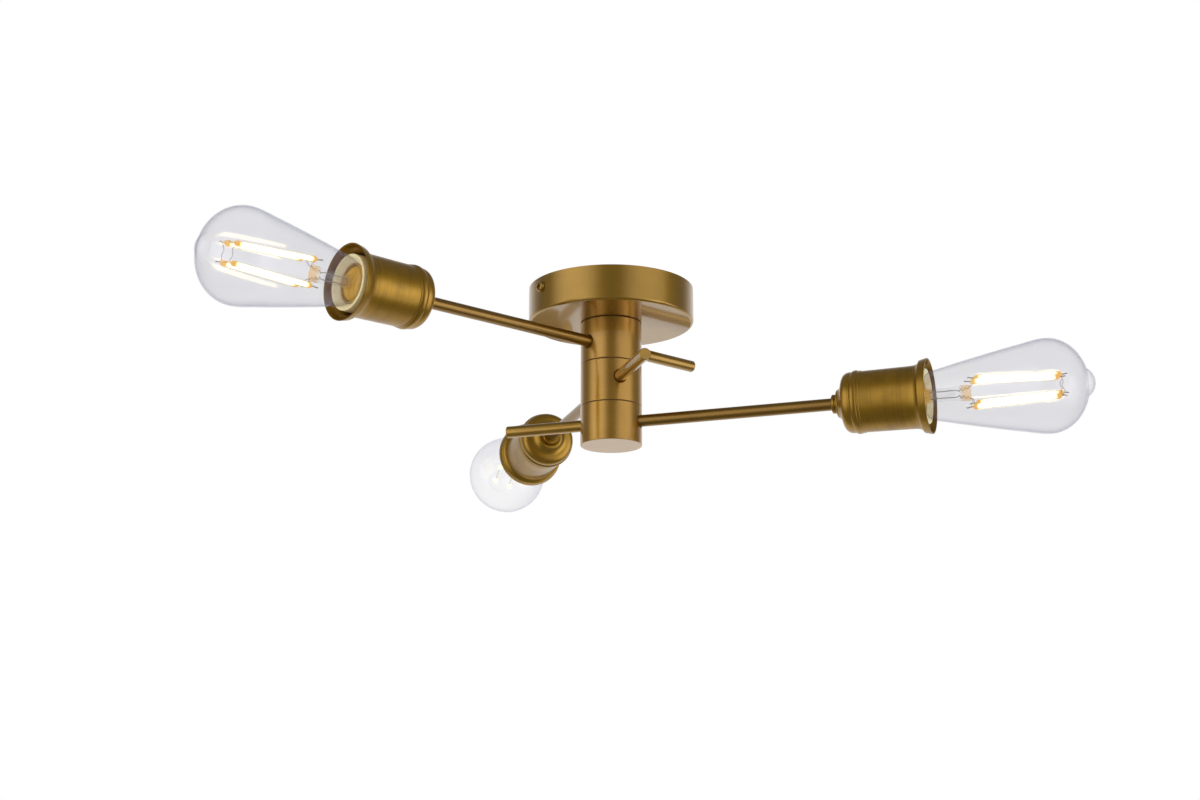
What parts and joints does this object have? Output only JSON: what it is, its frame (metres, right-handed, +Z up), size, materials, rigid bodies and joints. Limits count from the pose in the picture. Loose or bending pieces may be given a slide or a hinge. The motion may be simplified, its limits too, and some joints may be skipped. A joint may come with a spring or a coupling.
{
  "type": "flush mount ceiling light",
  "caption": "Brass ceiling light: round canopy over stacked swivelling hubs, slim arms at stepped heights, flared lamp cups and clear pear-shaped filament bulbs.",
  "frame": {"origin": "middle of the ceiling face, on the mounting bracket's top", "axes": "+Z up into the ceiling; +X along the mounting bracket, through the canopy's two side screws"},
  "size_m": [0.5511, 0.5975, 0.1319],
  "materials": {
    "satin_brass": "satin, clear lacquer",
    "zinc_steel": "zinc plated",
    "green_steel": "green plated",
    "dark_fibre": "matte",
    "wire_insulation": "matte",
    "cream_plastic": "satin",
    "socket_brass": "bright",
    "base_metal": "bright",
    "black_insulator": "gloss",
    "clear_glass": "clear",
    "stem_glass": "clear",
    "filament_coating": "lit",
    "bright_wire": "bright"
  },
  "bodies": {
    "fixture": {"canopy": "satin_brass", "mounting_bracket": "zinc_steel", "canopy_screws": "satin_brass", "ground_screw": "green_steel", "stem": "zinc_steel", "stem_nuts": "zinc_steel", "stem_washers": "zinc_steel", "seam_rings": "dark_fibre"},
    "upper_arm": {"upper_hub": "satin_brass", "upper_arm_tube": "satin_brass", "upper_arm_stub": "satin_brass", "upper_arm_nuts": "zinc_steel", "upper_arm_wires": "wire_insulation", "upper_cup_collar": "satin_brass", "upper_cup_cap": "satin_brass", "upper_cup_shell": "satin_brass", "upper_lampholder": "cream_plastic", "upper_screw_shell": "socket_brass", "upper_socket_contact": "socket_brass"},
    "upper_bulb": {"upper_bulb_base": "base_metal", "upper_bulb_end_contact": "black_insulator", "upper_bulb_glass": "clear_glass", "upper_bulb_stem": "stem_glass", "upper_bulb_filaments": "filament_coating", "upper_bulb_wires": "bright_wire"},
    "middle_arm": {"middle_hub": "satin_brass", "middle_arm_tube": "satin_brass", "middle_arm_stub": "satin_brass", "middle_arm_nuts": "zinc_steel", "middle_arm_wires": "wire_insulation", "middle_cup_collar": "satin_brass", "middle_cup_cap": "satin_brass", "middle_cup_shell": "satin_brass", "middle_lampholder": "cream_plastic", "middle_screw_shell": "socket_brass", "middle_socket_contact": "socket_brass"},
    "middle_bulb": {"middle_bulb_base": "base_metal", "middle_bulb_end_contact": "black_insulator", "middle_bulb_glass": "clear_glass", "middle_bulb_stem": "stem_glass", "middle_bulb_filaments": "filament_coating", "middle_bulb_wires": "bright_wire"},
    "lower_arm": {"lower_hub": "satin_brass", "lower_arm_tube": "satin_brass", "lower_arm_stub": "satin_brass", "lower_arm_nuts": "zinc_steel", "lower_arm_wires": "wire_insulation", "lower_cup_collar": "satin_brass", "lower_cup_cap": "satin_brass", "lower_cup_shell": "satin_brass", "lower_lampholder": "cream_plastic", "lower_screw_shell": "socket_brass", "lower_socket_contact": "socket_brass", "lower_hub_lid": "zinc_steel"},
    "lower_bulb": {"lower_bulb_base": "base_metal", "lower_bulb_end_contact": "black_insulator", "lower_bulb_glass": "clear_glass", "lower_bulb_stem": "stem_glass", "lower_bulb_filaments": "filament_coating", "lower_bulb_wires": "bright_wire"}
  },
  "joints": [
    {"name": "upper_arm_swivel", "type": "hinge", "parent": "fixture", "child": "upper_arm", "pos_m": [0, 0, -0.0424], "axis": [0, 0, 1], "range_deg": [-50, 50]},
    {"name": "upper_bulb_removal", "type": "slide", "parent": "upper_arm", "child": "upper_bulb", "axis": [-0.9925, -0.1219, 0], "range_m": [0, 0.035]},
    {"name": "middle_arm_swivel", "type": "hinge", "parent": "fixture", "child": "middle_arm", "pos_m": [0, 0, -0.0699], "axis": [0, 0, 1], "range_deg": [-50, 50]},
    {"name": "middle_bulb_removal", "type": "slide", "parent": "middle_arm", "child": "middle_bulb", "axis": [0.2924, 0.9563, 0], "range_m": [0, 0.035]},
    {"name": "lower_arm_swivel", "type": "hinge", "parent": "fixture", "child": "lower_arm", "pos_m": [0, 0, -0.0994], "axis": [0, 0, 1], "range_deg": [-50, 50]},
    {"name": "lower_bulb_removal", "type": "slide", "parent": "lower_arm", "child": "lower_bulb", "axis": [0.6032, -0.7976, 0], "range_m": [0, 0.035]}
  ]
}
